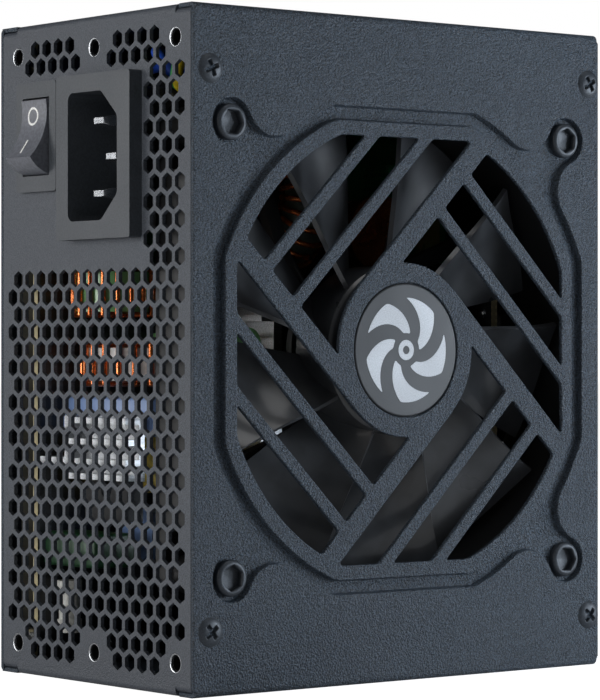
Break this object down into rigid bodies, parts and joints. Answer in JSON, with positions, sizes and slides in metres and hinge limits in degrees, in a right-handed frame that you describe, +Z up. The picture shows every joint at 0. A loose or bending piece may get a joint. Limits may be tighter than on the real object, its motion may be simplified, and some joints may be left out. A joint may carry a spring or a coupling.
{
  "type": "power supply unit",
  "caption": "Small-form-factor computer power supply: coated steel case, fan behind a pinwheel grille, hexagonal vents, mains inlet, rocker switch and output sockets.",
  "frame": {"origin": "middle of the end face that the unit stands on", "axes": "+Z up along the 125 mm height, -X out of the rear panel with the inlet and switch, -Y out of the fan cover, +X out of the output sockets"},
  "size_m": [0.1053, 0.0636, 0.125],
  "materials": {
    "coated_sheet": "fine textured powder coat",
    "coated_panel": "smooth powder coat",
    "bright_steel": "nickel plated",
    "black_screw": "black zinc, satin",
    "badge_plate": "dark anodised, spun",
    "frame_plastic": "moulded, satin",
    "blade_plastic": "moulded, glossy",
    "fan_steel": "rolled",
    "ferrite": "sintered, matte",
    "bronze": "sintered bronze",
    "copper_wire": "enamelled copper",
    "green_core": "coated ring core",
    "white_core": "coated ring core",
    "grey_core": "coated ring core",
    "dark_board": "dark solder mask",
    "green_board": "solder mask",
    "lead_cover": "extruded",
    "mains_cover": "extruded",
    "housing_plastic": "moulded, fine spark grain",
    "rocker_plastic": "moulded, satin",
    "contact_metal": "stamped",
    "film_sheet": "polyester film",
    "film_case": "moulded",
    "fuse_glass": "ceramic tube",
    "blue_epoxy": "dipped",
    "green_epoxy": "dipped",
    "black_mould": "moulded",
    "heatsink": "extruded",
    "can_sleeve": "shrink sleeve",
    "can_metal": "drawn can",
    "yellow_tape": "polyester tape",
    "gold_pin": "plated"
  },
  "bodies": {
    "case": {"fan_cover": "coated_sheet", "rear_panel": "coated_panel", "upper_wall": "coated_sheet", "lower_wall": "coated_sheet", "base_cover": "coated_sheet", "connector_panel": "coated_panel", "mounting_nuts": "bright_steel", "cover_screws": "black_screw", "base_screws": "black_screw", "badge_disc": "badge_plate", "fan_screws": "black_screw", "fan_frame": "frame_plastic", "bearing_sleeve": "bronze", "fan_stator": "fan_steel", "fan_windings": "copper_wire", "fan_circuit_board": "green_board", "fan_lead": "lead_cover", "inlet_body": "housing_plastic", "inlet_pins": "bright_steel", "switch_housing": "housing_plastic", "switch_terminals": "bright_steel", "mains_wires": "mains_cover", "insulating_sheet": "film_sheet", "main_board": "dark_board", "standoffs": "contact_metal", "board_screws": "bright_steel", "line_choke_core": "green_core", "line_choke_winding": "copper_wire", "filter_choke_core": "white_core", "filter_choke_winding": "copper_wire", "film_capacitors": "film_case", "mains_fuse": "fuse_glass", "varistor": "blue_epoxy", "inrush_thermistor": "green_epoxy", "bypass_relay": "black_mould", "bridge_rectifier": "black_mould", "rectifier_heatsink": "heatsink", "boost_choke_core": "grey_core", "boost_choke_winding": "copper_wire", "bulk_capacitor": "can_sleeve", "primary_heatsink": "heatsink", "primary_transistors": "black_mould", "transformer_core": "ferrite", "transformer_winding": "yellow_tape", "standby_transformer": "yellow_tape", "resonant_choke": "copper_wire", "controller_board": "green_board", "output_capacitors": "can_metal", "converter_board": "green_board", "connector_board": "dark_board", "main_socket": "black_mould", "cable_sockets": "black_mould", "socket_pins": "gold_pin"},
    "fan_rotor": {"impeller": "blade_plastic", "rotor_yoke": "fan_steel", "rotor_magnet": "ferrite", "fan_shaft": "bright_steel"},
    "rocker": {"switch_rocker": "rocker_plastic", "switch_spring": "bright_steel"},
    "contact_lever": {"contact_lever": "contact_metal"}
  },
  "joints": [
    {"name": "fan_spin", "type": "hinge", "parent": "case", "child": "fan_rotor", "pos_m": [0, -0.0225, 0.0625], "axis": [0, -1, 0], "continuous": true},
    {"name": "rocker_tilt", "type": "hinge", "parent": "case", "child": "rocker", "pos_m": [-0.0491, 0.01755, 0.1032], "axis": [0, -1, 0], "range_deg": [0, 36]},
    {"name": "lever_tilt", "type": "hinge", "parent": "case", "child": "contact_lever", "pos_m": [-0.0404, 0.01755, 0.1032], "axis": [0, -1, 0], "range_deg": [-16, 0]}
  ],
  "couplings": [
    {"joint": "lever_tilt", "follows": "rocker_tilt", "ratio": -0.44}
  ]
}
